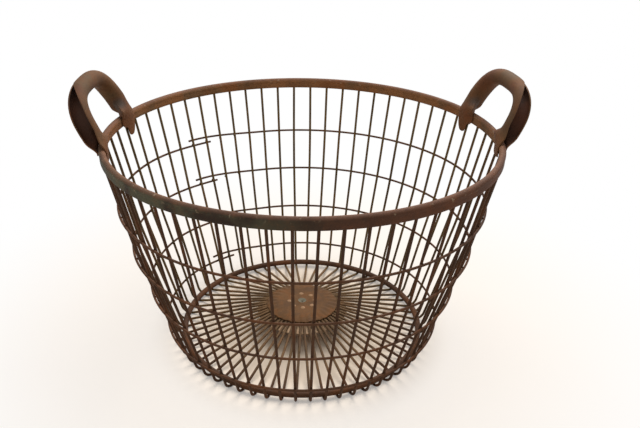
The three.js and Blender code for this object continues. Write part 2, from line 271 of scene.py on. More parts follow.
def ease_edges(piece, width, angle=40):
    """Rounds the sharp edges of a piece with an applied Bevel."""
    take(piece)
    edge = piece.modifiers.new("Edge", 'BEVEL')
    edge.width = width
    edge.segments = 2
    edge.limit_method = 'ANGLE'
    edge.angle_limit = math.radians(angle)
    bpy.ops.object.modifier_apply(modifier=edge.name)


def copied(piece, name, place=None):
    """A copy with a mesh of its own, its place put into the mesh."""
    twin = piece.copy()
    twin.data = piece.data.copy()
    twin.name = name
    twin.data.name = name
    bpy.context.collection.objects.link(twin)
    if place is not None:
        twin.data.transform(place)
    return twin


def joined(pieces, name):
    """Several pieces as one."""
    take(pieces[0])
    for piece in pieces:
        piece.select_set(True)
    bpy.ops.object.join()
    piece = bpy.context.active_object
    piece.name = name
    piece.data.name = name
    return piece


def finish_piece(piece, nodes, skins=(), crease=42):
    """Smooths a piece up to a crease angle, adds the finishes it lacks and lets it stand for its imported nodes."""
    take(piece)
    bpy.ops.object.shade_smooth_by_angle(angle=math.radians(crease))
    for skin in skins:
        piece.data.materials.append(skin)
    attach(piece, "root")
    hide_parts(*nodes)


# Shape of the wall and floor

def smooth(value, low, high):
    """0 below low, 1 above high and smooth between."""
    part = max(0.0, min(1.0, (value - low) / (high - low)))
    return part * part * (3 - 2 * part)


def wall_radius(sizes, height):
    """Radius of the rib wires' middle line at a height."""
    rise = height - sizes.wall_mid_height
    if rise < 0:
        return sizes.wall_mid_radius + rise * math.tan(sizes.wall_slope)
    top = sizes.rim_radius - sizes.rim_thickness / 2
    slope = (top - sizes.wall_mid_radius) / (sizes.rim_top - sizes.rim_height - sizes.wall_mid_height)
    return sizes.wall_mid_radius + rise * slope


def bend_centre(sizes):
    """Radius and height of the centre of the bend from wall to floor."""
    height = sizes.rib_wire * 0.5 + sizes.rib_bend
    reach = sizes.rib_bend / math.cos(sizes.wall_slope)
    return wall_radius(sizes, height) - reach, height


def floor_height(sizes, radius):
    """Height of the floor wires' middle line at a radius."""
    centre, height = bend_centre(sizes)
    start = centre - sizes.rib_bend * math.sin(sizes.floor_slope)
    level = height - sizes.rib_bend * math.cos(sizes.floor_slope)
    return level + (start - radius) * math.tan(sizes.floor_slope)


def bent_wire(name, corners, bends, wire, sides, feed=0.03):
    """A wire fed straight and bent at each corner, in the plane through +X and +Z.

    A bend is a radius and its steps. The last straight is left to draw: its start and end come back with the wire.
    """
    points = [Vector((r, 0, z)) for r, z in corners]
    ways = [(b - a).normalized() for a, b in zip(points, points[1:])]
    turns = [math.atan2(way.x, way.z) for way in ways]
    clear_selection()
    bpy.ops.mesh.primitive_circle_add(
        vertices=sides, radius=wire / 2, fill_type='NGON', location=points[0], rotation=(0, turns[0], 0)
    )
    piece = fresh(name)
    edit_all(piece, 'FACE')
    here = points[0]
    for i, (corner, (radius, steps)) in enumerate(zip(points[1:-1], bends)):
        change = (turns[i + 1] - turns[i] + math.pi) % (2 * math.pi) - math.pi
        reach = math.tan(abs(change) / 2)
        before = corner - ways[i] * radius * reach
        feeds = max(1, round((before - here).length / feed))
        for _ in range(feeds):
            draw_on((before - here) / feeds)
        inward = Vector((math.cos(turns[i]), 0, -math.sin(turns[i])))
        swing(steps, change, before + inward * math.copysign(1, change) * radius, (0, 1, 0))
        here = corner + ways[i + 1] * radius * reach
    return piece, here, points[-1]


# Materials

class Value:
    """A socket in a finish. Sums and products of it add Math nodes."""

    def __init__(self, finish, socket):
        self.finish = finish
        self.socket = socket

    def math(self, operation, first, second):
        return self.finish.node('ShaderNodeMath', {"operation": operation}, {0: first, 1: second})

    def __add__(self, other):
        return self.math('ADD', self, other)

    def __radd__(self, other):
        return self.math('ADD', other, self)

    def __sub__(self, other):
        return self.math('SUBTRACT', self, other)

    def __rsub__(self, other):
        return self.math('SUBTRACT', other, self)

    def __mul__(self, other):
        return self.math('MULTIPLY', self, other)

    def __rmul__(self, other):
        return self.math('MULTIPLY', other, self)

    def __pow__(self, other):
        return self.math('POWER', self, other)

    def __rpow__(self, other):
        return self.math('POWER', other, self)


class Finish:
    """A new material or world, and the means to add nodes to it."""

    def __init__(self, owner):
        owner.use_nodes = True
        self.owner = owner
        self.tree = owner.node_tree
        self.tree.nodes.clear()

    @cached_property
    def place(self):
        """The place on the piece, which the patterns follow."""
        return self.node('ShaderNodeTexCoord', out='Object')

    def node(self, kind, settings=None, inputs=None, out=0):
        """Adds a node: its type, its settings, then the values or links of its sockets."""
        made = self.tree.nodes.new(kind)
        for key, value in (settings or {}).items():
            setattr(made, key, value)
        for key, value in (inputs or {}).items():
            socket = made.inputs[key]
            if isinstance(value, Value):
                self.tree.links.new(value.socket, socket)
            elif socket.type == 'RGBA' and len(value) == 3:
                socket.default_value = (*value, 1)
            else:
                socket.default_value = value
        return Value(self, made.outputs[out]) if made.outputs else None

    def blend(self, mask, first, second):
        """One colour where the mask is 0, the other where it is 1."""
        return self.node('ShaderNodeMix', {"data_type": 'RGBA'}, {0: mask, 6: first, 7: second}, out=2)

    def noise(self, scale, detail, rough, shift=0.0):
        """Cloudy noise, with so many clouds to the metre."""
        moved = self.node(
            'ShaderNodeMapping', None, {"Vector": self.place, "Location": (shift, shift * 1.7, -shift)}
        )
        return self.node(
            'ShaderNodeTexNoise',
            {"noise_dimensions": '3D'},
            {"Vector": moved, "Scale": scale, "Detail": detail, "Roughness": rough},
        )

    def between(self, value, low, high):
        """0 below low, 1 above high and smooth between."""
        return self.node(
            'ShaderNodeMapRange',
            {"interpolation_type": 'SMOOTHSTEP'},
            {"Value": value, "From Min": low, "From Max": high, "To Min": 0.0, "To Max": 1.0},
        )

    def parts(self):
        """x, y and z of the place on the piece."""
        return [self.node('ShaderNodeSeparateXYZ', None, {0: self.place}, out=axis) for axis in "XYZ"]

    def radius(self):
        """Distance from the upright axis."""
        x, y, _ = self.parts()
        return (x * x + y * y) ** 0.5

    def skin(self, colour, rough, metal, bumps, reach, strength):
        """The shader of a dull surface with bumps of so many metres."""
        raised = self.node(
            'ShaderNodeBump', None, {"Height": bumps, "Strength": strength, "Distance": reach}, out='Normal'
        )
        inputs = {"Base Color": colour, "Roughness": rough, "Metallic": metal, "Normal": raised}
        return self.node('ShaderNodeBsdfPrincipled', None, {**inputs, "Specular IOR Level": 0.2})

    def show(self, shader):
        """The way out of the material."""
        self.node('ShaderNodeOutputMaterial', None, {"Surface": shader})


def rusted(name, skin, dark, rust, clouds, shares, shift, metal, paint=None):
    """Old steel: a brown skin, near-black scale in clouds, orange rust in patches and a fine grain over all.

    clouds is their number to the metre, shares are those of scale, rust and flecks, and shift moves the pattern.
    """
    f = Finish(bpy.data.materials.new(name))
    broad = f.noise(clouds * 0.4, 4.0, 0.55, shift)
    cloud = f.noise(clouds, 5.0, 0.58, shift + 3.1)
    speck = f.noise(clouds * 6.0, 4.0, 0.6, shift + 7.7)
    grain = f.noise(1500.0, 3.0, 0.6, shift + 1.3)
    scale_share, rust_share, fleck_share = shares
    colour = skin if paint is None else paint(f, skin, broad, cloud)
    scale_mask = f.between(broad * 0.6 + cloud * 0.4, 0.58, 0.40) * scale_share
    rust_mask = f.between(broad * 0.35 + cloud * 0.65, 0.50, 0.64) * rust_share
    colour = f.blend(scale_mask, colour, dark)
    colour = f.blend(rust_mask, colour, rust)
    if fleck_share:
        fleck = f.between(speck, 0.56, 0.70) * fleck_share
        colour = f.blend(fleck, colour, tuple(min(1.0, c * 1.8 + 0.01) for c in rust))
    soot = f.between(speck, 0.46, 0.32) * (0.15 + scale_share * 0.5)
    colour = f.blend(soot, colour, dark)
    rough = 0.58 + cloud * 0.22 + speck * 0.10
    shine = metal - rust_mask * (metal * 0.8) if metal else 0.0
    bumps = speck * 0.7 + grain * 0.3
    f.show(f.skin(colour, rough, shine, bumps, reach=0.00030, strength=0.45))


def rim_paint(c):
    """Olive film on the outside's left, red rust on its right, brown inside, a painted highlight along the top of the
    bead and chips along it.
    """
    fold_radii, bead_highlight_heights, chipped_heights = (0.2128, 0.2106), (0.2478, 0.2500), (0.2425, 0.2465)

    def paint(f, skin, broad, cloud):
        x, _, z = f.parts()
        outer = f.blend(f.between(x + broad * 0.16, 0.02, 0.22) * 0.8, skin, c.rim_red)
        film = f.between(broad, 0.36, 0.54) * f.between(x, 0.02, -0.10) * 0.85
        outer = f.blend(film, outer, c.green_tarnish)
        glow = f.between(f.noise(16.0, 3.0, 0.5, 41.0), 0.46, 0.62) * 0.45
        inner = f.blend(glow, c.rim_inside, c.bright_rust)
        olive = f.between(f.noise(21.0, 3.0, 0.5, 47.0), 0.50, 0.64) * 0.40
        inner = f.blend(olive, inner, c.green_tarnish)
        base = f.blend(f.between(f.radius(), *fold_radii), outer, inner)
        # Lighter band along the top of the bead: painted highlight.
        top = f.between(z + cloud * 0.0020, *bead_highlight_heights) * 0.75
        base = f.blend(top, base, c.rim_bead_highlight)
        chips = f.between(f.noise(240.0, 3.0, 0.6, 53.0), 0.60, 0.68) * f.between(z, *chipped_heights)
        return f.blend(chips * f.between(cloud, 0.42, 0.60) * 0.7, base, c.rim_chip)

    return paint


def rib_paint(c):
    """Darker, redder wires at the front and lighter olive ones at the back, painted shade and light; lighter tan ones
    in the floor, painted light from above.
    """
    shaded_front_to_lit_back, wall_to_floor = (-0.04, 0.12), (0.150, 0.115)

    def paint(f, skin, broad, cloud):
        _, y, _ = f.parts()
        # Darker wires at the front, lighter ones at the back: painted shade and light.
        wall = f.blend(f.between(y + broad * 0.06, *shaded_front_to_lit_back), skin, c.rib_back_lit)
        # Lighter tan where the wires lie in the floor: painted light from above.
        return f.blend(f.between(f.radius() + broad * 0.03, *wall_to_floor) * 0.8, wall, c.rib_floor_lit)

    return paint


def grip_paint(c):
    """Soft lighter and darker clouds, rust towards the feet and a bluish stain low on each back leg."""
    rusty_heights, stain_place, stain_reach = (0.292, 0.262), (0.2050, 0.0610, 0.2615), (0.0145, 0.0065)

    def paint(f, skin, broad, cloud):
        x, y, z = f.parts()
        rubbed = f.between(broad, 0.50, 0.66) * 0.55
        base = f.blend(rubbed, skin, c.grip_light)
        olive = f.between(f.noise(30.0, 3.0, 0.5, 61.0), 0.48, 0.62) * 0.50
        base = f.blend(olive, base, c.grip_dull)
        blush = f.between(f.noise(34.0, 3.0, 0.5, 67.0), 0.50, 0.64) * 0.45
        base = f.blend(blush, base, c.grip_red)
        low = f.between(z + broad * 0.040, *rusty_heights) * 0.50
        base = f.blend(low, base, c.bright_rust)
        either_side = f.node('ShaderNodeMath', {"operation": 'ABSOLUTE'}, {0: x})
        side, back, up = [part - middle for part, middle in zip((either_side, y, z), stain_place)]
        gap = (side * side + back * back + up * up) ** 0.5
        spot = f.between(gap + cloud * 0.008, *stain_reach) * 0.60
        return f.blend(spot, base, c.grip_stain)

    return paint


def finishes():
    """The basket's materials by name, made once."""
    if "basket_rim" in bpy.data.materials:
        return bpy.data.materials
    c = bpy.context.scene.basket_colours
    dark, rust = c.dark_scale, c.bright_rust
    rusted("basket_rim", c.rim_outside, dark, rust, 60.0, (0.30, 0.14, 0.10), 0.0, 0.10, rim_paint(c))
    rusted("basket_rib", c.rib_skin, dark, rust, 34.0, (0.45, 0.22, 0.05), 5.0, 0.05, rib_paint(c))
    rusted("basket_hoop", c.hoop_skin, dark, rust, 30.0, (0.42, 0.26, 0.06), 9.0, 0.05)
    rusted("basket_ring", c.hoop_skin, dark, rust, 36.0, (0.55, 0.25, 0.06), 13.0, 0.05)
    rusted("basket_plate", c.plate_skin, dark, rust, 90.0, (0.35, 0.30, 0.12), 17.0, 0.08)
    rusted("basket_eyelet", c.eyelet_skin, c.plate_skin, rust, 260.0, (0.35, 0.15, 0.0), 19.0, 0.10)
    # Light tan lower plate: painted light in the shade under the upper plate.
    rusted("basket_plate_low_lit", c.low_plate_painted_light, dark, rust, 90.0, (0.30, 0.20, 0.05), 18.0, 0.05)
    # Lighter dimples: painted highlight.
    rusted("basket_dimple_highlight", c.dimple_highlight, dark, rust, 120.0, (0.10, 0.10, 0.0), 20.0, 0.10)
    rusted("basket_grip", c.grip_skin, dark, rust, 55.0, (0.26, 0.08, 0.02), 21.0, 0.10, grip_paint(c))
    rusted("basket_grip_hollow", c.grip_hollow_dirt_and_shade, dark, rust, 45.0, (0.55, 0.04, 0.0), 25.0, 0.0)
    return bpy.data.materials


# Operators

class BASKET_OT_rim(bpy.types.Operator):
    """Folds the rim from one strip: up the inside, over the bead and down the outside"""

    bl_idname = "basket.rim"
    bl_label = "Rim"

    def execute(self, context):
        s = context.scene.basket_sizes
        bead = s.rim_thickness / 2
        middle = s.rim_radius - bead
        half = s.rim_sheet / 2
        level = s.rim_top - bead
        dip = math.acos((bead - s.rim_crease) / bead)
        flat = bead - s.rim_crease - half
        foot = s.rim_top - s.rim_height
        lip, curl, band, shoulder, arc, steps = 0.0006, 0.0014, 0.004, 0.0022, 12, 180
        side = [(flat - lip, foot + half), (flat, foot + curl), (flat, foot + band), (flat, level - shoulder)]
        line = [(middle - out, height) for out, height in side]
        for i in range(arc + 1):
            angle = math.pi + dip - (math.pi + 2 * dip) * i / arc
            line.append((middle + (bead - half) * math.cos(angle), level + (bead - half) * math.sin(angle)))
        line += [(middle + out, height) for out, height in reversed(side)]
        rim = turned_line("rim_strip", line, steps)
        thicken(rim, s.rim_sheet)
        finish_piece(rim, ["rim"], [finishes()["basket_rim"]], crease=50)
        return {'FINISHED'}


class BASKET_OT_ribs(bpy.types.Operator):
    """Bends one rib wire, sets two side by side and copies the pair round the basket"""

    bl_idname = "basket.ribs"
    bl_label = "Ribs"

    def rib(self, s, sign):
        """One wire of a pair: up in the rim, down the wall, round the bend and in along the floor to its partner."""
        foot = s.rim_top - s.rim_height
        top = s.rim_radius - s.rim_thickness / 2
        knee = (s.wall_mid_radius, s.wall_mid_height)
        lean, rise = math.tan(s.wall_slope), math.tan(s.floor_slope)
        level = floor_height(s, 0.0)
        height = (level - rise * (knee[0] - knee[1] * lean)) / (1 + rise * lean)
        corner = (knee[0] + (height - knee[1]) * lean, height)
        end = (s.rib_end_radius, floor_height(s, s.rib_end_radius))
        tuck, rim_bend, knee_bend, runs = 0.0075, 0.014, 0.35, 3
        corners = [(top, foot + tuck), (top, foot), knee, corner, end]
        bends = [(rim_bend, 3), (knee_bend, 4), (s.rib_bend, 9)]
        wire, here, last = bent_wire("rib", corners, bends, s.rib_wire, sides=10)
        step = math.pi / s.rib_count
        shift = sign * (last.x * math.sin(step) - s.pair_spacing / 2)
        for _ in range(runs):
            draw_on(((last.x - here.x) / runs, -shift / runs, (last.z - here.z) / runs))
        tidy_skin(wire)
        wire.data.transform(Matrix.Rotation(sign * step, 4, 'Z'))
        return wire

    def execute(self, context):
        s = context.scene.basket_sizes
        pair = joined([self.rib(s, -1), self.rib(s, 1)], "rib_pair")
        chance = random.Random(7)
        sway, sway_from, sway_over = 0.0009, 0.02, 0.21
        step = 2 * math.pi / s.rib_count
        for i in range(s.rib_count // 2):
            twin = copied(pair, f"rib_wires_{i + 1:02d}")
            waves = [[chance.uniform(-1, 1) for _ in range(4)] for _ in range(2)]
            for vertex in twin.data.vertices:
                bow = waves[0] if vertex.co.y < 0 else waves[1]
                up = max(0.0, min(1.0, (vertex.co.z - sway_from) / sway_over))
                push = bow[0] * math.sin(math.pi * up) + 0.5 * bow[1] * math.sin(2 * math.pi * up)
                vertex.co.y += sway * push
            twin.data.transform(Matrix.Rotation((2 * i + 0.5) * step, 4, 'Z'))
            finish_piece(twin, [f"rib_pair_{i + 1:02d}"], [finishes()["basket_rib"]])
        bpy.data.objects.remove(pair)
        return {'FINISHED'}


class BASKET_OT_hoops(bpy.types.Operator):
    """Spins each hoop round the ribs, laps its cut ends and welds it to the ribs"""

    bl_idname = "basket.hoops"
    bl_label = "Hoops"

    def hoop(self, s, name, height):
        """One hoop from its lower cut end, once round and past it to the upper one."""
        gap, ease, step = 0.0001, math.radians(30), 2
        stand = (s.rib_wire / 2 + s.hoop_wire / 2) / math.cos(s.wall_slope) + gap
        radius = wall_radius(s, height) + stand
        lap = s.lap_length / radius
        begin = s.lap_place - lap / 2 + ease
        start = Vector((radius * math.cos(begin), radius * math.sin(begin), height))
        clear_selection()
        bpy.ops.mesh.primitive_circle_add(
            vertices=10, radius=s.hoop_wire / 2, fill_type='NGON', location=start, rotation=(math.pi / 2, 0, begin)
        )
        hoop = fresh(name)
        edit_all(hoop, 'FACE')
        sweep = 2 * math.pi + lap - 2 * ease
        swing(round(math.degrees(sweep) / step), sweep, (0, 0, 0), (0, 0, 1))
        self.run_out(s, height, begin + sweep, ease, s.lap_rise)
        pick_faces(hoop, lambda middle: (middle - start).length < s.hoop_wire * 0.2)
        self.run_out(s, height, begin, -ease, -s.lap_drop)
        return tidy_skin(hoop)

    def run_out(self, s, height, begin, ease, rise, steps=15):
        """Leads an end of the hoop off its level, along the wall."""
        level = height
        for i in range(steps):
            swing(1, ease / steps, (0, 0, 0), (0, 0, 1))
            part = (i + 1) / steps
            aim = height + rise * smooth(part, 0.0, 1.0)
            out = wall_radius(s, aim) - wall_radius(s, level)
            way = begin + ease * part
            bpy.ops.transform.translate(value=(out * math.cos(way), out * math.sin(way), aim - level))
            level = aim

    def execute(self, context):
        s = context.scene.basket_sizes
        hoops, weld_radius, weld_shape, weld_seat = 4, 0.00125, (1.35, 1.0, 0.9), 0.47
        clear_selection()
        bpy.ops.mesh.primitive_ico_sphere_add(subdivisions=2, radius=weld_radius)
        bead = fresh("weld_bead")
        edit_all(bead)
        bpy.ops.transform.resize(value=weld_shape)
        tidy_skin(bead)
        for i in range(hoops):
            height = s.lowest_hoop + (hoops - 1 - i) * s.hoop_spacing
            hoop = self.hoop(s, f"hoop_wire_{i + 1}", height)
            middle = wall_radius(s, height) + s.rib_wire * weld_seat
            welds = [hoop]
            for k in range(s.rib_count):
                way = 2 * math.pi * k / s.rib_count
                place = Matrix.Rotation(way, 4, 'Z') @ Matrix.Translation((middle, 0, height))
                welds.append(copied(bead, "weld", place))
            hoop = joined(welds, f"hoop_wire_{i + 1}")
            finish_piece(hoop, [f"hoop_{i + 1}"], [finishes()["basket_hoop"]])
        bpy.data.objects.remove(bead)
        return {'FINISHED'}


class BASKET_OT_base_ring(bpy.types.Operator):
    """Spins the heavier rod in the corner between wall and floor"""

    bl_idname = "basket.base_ring"
    bl_label = "Base ring"

    def execute(self, context):
        s = context.scene.basket_sizes
        sides, steps = 14, 150
        clear_selection()
        bpy.ops.mesh.primitive_circle_add(
            vertices=sides, radius=s.ring_rod / 2, fill_type='NOTHING',
            location=(s.ring_radius, 0, s.ring_height), rotation=(math.pi / 2, 0, 0),
        )
        ring = fresh("base_ring_rod")
        edit_all(ring)
        swing(steps, 2 * math.pi, (0, 0, 0), (0, 0, 1))
        tidy_skin(ring)
        finish_piece(ring, ["base_ring"], [finishes()["basket_ring"]])
        return {'FINISHED'}


class BASKET_OT_floor_plates(bpy.types.Operator):
    """Presses the two discs that hold the inner rib ends"""

    bl_idname = "basket.floor_plates"
    bl_label = "Floor plates"

    def dimple(self, s, top):
        """A shallow cap cut from a ball, seated a little below the plate's top."""
        clear_selection()
        seat = 0.0002
        reach = s.dimple_width / 2
        ball = (reach * reach + s.dimple_height ** 2) / (2 * s.dimple_height)
        bpy.ops.mesh.primitive_uv_sphere_add(segments=20, ring_count=40, radius=ball)
        bump = fresh("dimple")
        edit_all(bump)
        bpy.ops.mesh.bisect(
            plane_co=(0, 0, ball - s.dimple_height - seat), plane_no=(0, 0, 1), clear_inner=True, use_fill=True
        )
        tidy_skin(bump)
        bump.data.transform(Matrix.Translation((s.dimple_circle / 2, 0, top - ball + s.dimple_height)))
        return bump

    def skirt(self, s, level, flat, edge, lip=0.0):
        """The line of a plate from the end of its flat middle, over the fold and down the slope to its edge."""
        drop = math.tan(s.floor_slope)
        fold, fold_start, fold_end, bend, hem = 0.0012, 0.0001, 0.0005, 0.004, 0.001
        return [
            (flat - fold, level - fold_start), (flat + fold, level - fold_end), (flat + bend, level - bend * drop),
            (edge - hem, level - (edge - hem - flat) * drop), (edge, level - (edge - flat) * drop - lip),
        ]

    def upper(self, s, hole, flat, level):
        """The upper plate: a rivet's cup in its hole, a flat middle and a slope pressed between the ribs."""
        cup = ((0.0012, -0.0017), (0.0020, -0.0010), (0.0034, -0.0005), (0.0044, 0.0001))
        collar = ((-0.0005, 0.0004), (0.0002, 0.0003), (0.0008, 0.0), (0.003, 0.0), (0.007, 0.0))
        press, press_middle, press_half, steps = 0.0008, 0.35, 0.004, 240
        line = [(radius, level + rise) for radius, rise in cup]
        line += [(hole + out, level + rise) for out, rise in collar]
        line += [(flat * 0.6, level), (flat - press_half, level)]
        line += self.skirt(s, level, flat, s.upper_plate_radius, lip=0.0002)
        plate = turned_line("floor_disc_upper", line, steps)
        for vertex in plate.data.vertices:
            away = math.hypot(vertex.co.x, vertex.co.y)
            way = math.atan2(vertex.co.y, vertex.co.x) - math.pi / s.rib_count
            ridge = 0.5 + 0.5 * math.cos(s.rib_count / 2 * way)
            vertex.co.z += press * (ridge - press_middle) * smooth(away, flat - press_half, flat + press_half)
        return plate

    def lower(self, s, hole, flat, level):
        """The lower plate: a plain hole, a flat middle and a slope."""
        collar, steps = 0.006, 96
        line = [(hole + s.plate_sheet / 2, level), (hole + collar, level), (flat * 0.6, level)]
        return turned_line("floor_disc_lower", line + self.skirt(s, level, flat, s.lower_plate_radius), steps)

    def execute(self, context):
        s = context.scene.basket_sizes
        gap, edge_round, rivet_inset, dimples = 0.0003, 0.0003, 0.0002, 8
        half = s.plate_sheet / 2
        hole = s.plate_hole / 2
        flat = s.rib_end_radius - gap
        stand = s.rib_wire / 2 / math.cos(s.floor_slope) + gap
        over = floor_height(s, flat) + stand + half
        under = floor_height(s, flat) - stand - half
        upper = self.upper(s, hole, flat, over)
        thicken(upper, s.plate_sheet)
        ease_edges(upper, edge_round)
        metals = [finishes()[name] for name in ("basket_plate", "basket_eyelet", "basket_dimple_highlight")]
        for metal in metals:
            upper.data.materials.append(metal)
        for face in upper.data.polygons:
            if math.hypot(face.center.x, face.center.y) < hole - rivet_inset:
                face.material_index = 1
        first = self.dimple(s, over + half)
        first.data.materials.append(metals[2])
        bumps = [
            copied(first, "bump", Matrix.Rotation(2 * math.pi * i / dimples, 4, 'Z')) for i in range(dimples)
        ]
        bpy.data.objects.remove(first)
        upper = joined([upper, *bumps], "floor_disc_upper")
        finish_piece(upper, ["floor_plate_upper"])
        lower = self.lower(s, hole, flat, under)
        thicken(lower, s.plate_sheet)
        ease_edges(lower, edge_round)
        finish_piece(lower, ["floor_plate_lower"], [finishes()["basket_plate_low_lit"]])
        return {'FINISHED'}


class BASKET_OT_handles(bpy.types.Operator):
    """Rolls a flat blank into a grip, opens its legs to gutters and forks its feet over the rim"""

    bl_idname = "basket.handles"
    bl_label = "Handles"

    # Across the blank, from -1 at its outer edge to 1 at its inner one, the web lies between these two
    WEB_IN, WEB_OUT = -0.125, -0.25
    # Along half of the arch, from 0 at the crown to 1 at the foot, each half of the roll opens and flares over these
    INNER_OPENS, OUTER_OPENS, OUTER_FLARES = (0.0, 0.66), (0.0, 0.70), (0.22, 0.72)
    # Past the foot, in lengths of its bend, each half is pressed to the rim over these
    INNER_CLOSES, OUTER_CLOSES = (-2.25, 0.375), (-0.9, 0.95)

    def arch_point(self, s, theta):
        """Sideways and upward place on half of the arch, at an angle from its crown."""
        part = 2 / s.handle_power
        return s.handle_half_span * math.sin(theta) ** part, s.handle_rise * max(math.cos(theta), 0.0) ** part

    def arch(self, s, rows, count=1600):
        """Length of half of the arch, and its angles at equal distances along it."""
        places = [self.arch_point(s, i / count * math.pi / 2) for i in range(count + 1)]
        lengths = [0.0]
        for first, second in zip(places, places[1:]):
            lengths.append(lengths[-1] + math.dist(first, second))
        angles, at = [0.0], 0
        for row in range(1, rows + 1):
            aim = lengths[-1] * row / rows
            while at < count and lengths[at] < aim - 1e-12:
                at += 1
            angles.append(at / count * math.pi / 2)
        return lengths[-1], angles

    def edge(self, s, across, side):
        """Height of the blank's end over the rim's top: outer prong, web over the rim, inner lobe and tongue."""
        lobe = -s.rim_height - s.lobe_drop
        tongue = -s.rim_height - (s.front_tongue_drop if side < 0 else s.tongue_drop)
        prong, web, drop = -s.prong_drop, s.web_gap, lobe - tongue
        knots = (
            (-1.0, 0.40 * prong), (-0.94, 0.66 * prong), (-0.86, 0.88 * prong), (-0.75, prong), (-0.60, prong),
            (-0.48, 0.92 * prong), (-0.38, 0.70 * prong), (-0.30, 0.30 * prong),
            (self.WEB_OUT, web), (self.WEB_IN, -4 * web),
            (-0.08, 0.45 * lobe), (0.0, 0.8 * lobe), (0.10, lobe), (0.25, lobe), (0.30, lobe - 0.087 * drop),
            (0.35, lobe - 0.38 * drop), (0.41, tongue + 0.30 * drop), (0.48, tongue + 0.065 * drop), (0.56, tongue),
            (0.74, tongue), (0.82, tongue + 0.087 * drop), (0.90, tongue + 0.29 * drop), (0.96, tongue + 0.54 * drop),
            (1.0, tongue + 0.87 * drop),
        )
        for (a, low), (b, high) in zip(knots, knots[1:]):
            if across <= b:
                return low + (high - low) * (across - a) / (b - a)
        return knots[-1][1]

    def section(self, s, across, part, past):
        """A point of the roll's section: a circle with a seam that opens along the legs, pressed to the rim."""
        if across >= 0:
            wrap = s.inner_wrap + (s.inner_leg_wrap - s.inner_wrap) * smooth(part, *self.INNER_OPENS)
            flare = 0.0
        else:
            wrap = s.outer_wrap + (s.outer_leg_wrap - s.outer_wrap) * smooth(part, *self.OUTER_OPENS)
            flare = s.leg_flare * smooth(part, *self.OUTER_FLARES)
        angle = across * wrap
        circle = Vector(((s.grip_radius + flare) * math.sin(angle), -s.grip_radius * math.cos(angle)))
        inner, outer = [
            smooth(past, low * s.foot_bend, high * s.foot_bend) for low, high in (self.INNER_CLOSES, self.OUTER_CLOSES)
        ]
        half = s.rim_thickness / 2 + s.fork_gap + s.grip_sheet / 2
        if across >= self.WEB_IN:
            place = (across - self.WEB_IN) / (1 - self.WEB_IN)
            bow = s.lobe_bow * (1 - (2 * place - 1) ** 2)
            aim, press = Vector((half + bow, (s.lobe_reach + s.tongue_reach) * place - s.lobe_reach)), inner
        elif across <= self.WEB_OUT:
            place = (self.WEB_OUT - across) / (1 + self.WEB_OUT)
            aim, press = Vector((s.prong_pinch - half, s.prong_reach * (2 * place - 1))), outer
        else:
            place = (self.WEB_IN - across) / (self.WEB_IN - self.WEB_OUT)
            aim = Vector((half, -s.lobe_reach)).lerp(Vector((-half, -s.prong_reach)), place)
            press = inner + (outer - inner) * place
        return circle.lerp(aim, press)

    def formed(self, s, across, side, theta, part, tail, half):
        """Where a point of the blank lies: across the roll, and along the arch or down the tail of a leg."""
        lean, power = s.handle_lean, s.handle_power
        top = s.rim_radius - s.rim_thickness / 2
        twist_all = math.asin(s.handle_half_span / top)
        foot = top * math.cos(twist_all) + s.foot_bend * (1 - math.cos(lean)) / lean
        sideways, reach = self.arch_point(s, theta)
        turn_part = min(tail / s.foot_bend, 1.0)
        tilt, twist = lean * (1 - turn_part), twist_all * turn_part
        centre = Vector((foot, side * sideways, s.rim_top + s.foot_rise))
        centre.x += reach * math.sin(lean) - s.foot_bend * (math.cos(tilt) - math.cos(lean)) / lean
        centre.z += reach * math.cos(lean) - s.foot_bend * (math.sin(lean) - math.sin(tilt)) / lean
        centre.z -= max(tail - s.foot_bend, 0.0)
        cross = Vector((-math.cos(twist), -side * math.sin(twist), 0)) * math.cos(tilt)
        cross.z = math.sin(tilt)
        if tail > 0:
            out = Vector((-math.sin(twist), side * math.cos(twist), 0))
        else:
            rising = (reach / s.handle_rise) ** (power - 1) / s.handle_rise
            out = Vector((math.sin(lean), 0, math.cos(lean))) * rising
            out.y = side * (sideways / s.handle_half_span) ** (power - 1) / s.handle_half_span
        flat = self.section(s, across, part, (part - 1) * half + tail)
        return centre + cross * flat.x + out.normalized() * flat.y

    def execute(self, context):
        s = context.scene.basket_sizes
        columns, rows, ends, crown_half, edge_round = 64, 48, 24, 0.002, 0.0003
        half, angles = self.arch(s, rows)
        bend_drop = s.foot_bend * math.sin(s.handle_lean) / s.handle_lean
        clear_selection()
        bpy.ops.mesh.primitive_grid_add(x_subdivisions=columns, y_subdivisions=2 * (rows + ends), size=2)
        grip = fresh("rolled_grip")
        for vertex in grip.data.vertices:
            across, row = vertex.co.x, round(vertex.co.y * (rows + ends))
            side, along = (-1 if row < 0 else 1), abs(row)
            drop = s.foot_rise - self.edge(s, across, side)
            reach = s.foot_bend * drop / bend_drop if drop < bend_drop else s.foot_bend + drop - bend_drop
            tail = max(along - rows, 0) / ends * reach
            theta = angles[min(along, rows)]
            vertex.co = self.formed(s, across, side, theta, min(along / rows, 1.0), tail, half)
        edit_all(grip)
        bpy.ops.mesh.normals_make_consistent(inside=False)
        sheet = bmesh.from_edit_mesh(grip.data)
        middles = [(face.calc_center_median(), face.normal.z) for face in sheet.faces]
        crown = [(middle.z, facing) for middle, facing in middles if abs(middle.y) < crown_half]
        if min(crown)[1] > 0:
            bpy.ops.mesh.flip_normals()
        bpy.ops.object.mode_set(mode='OBJECT')
        grip.data.materials.append(finishes()["basket_grip"])
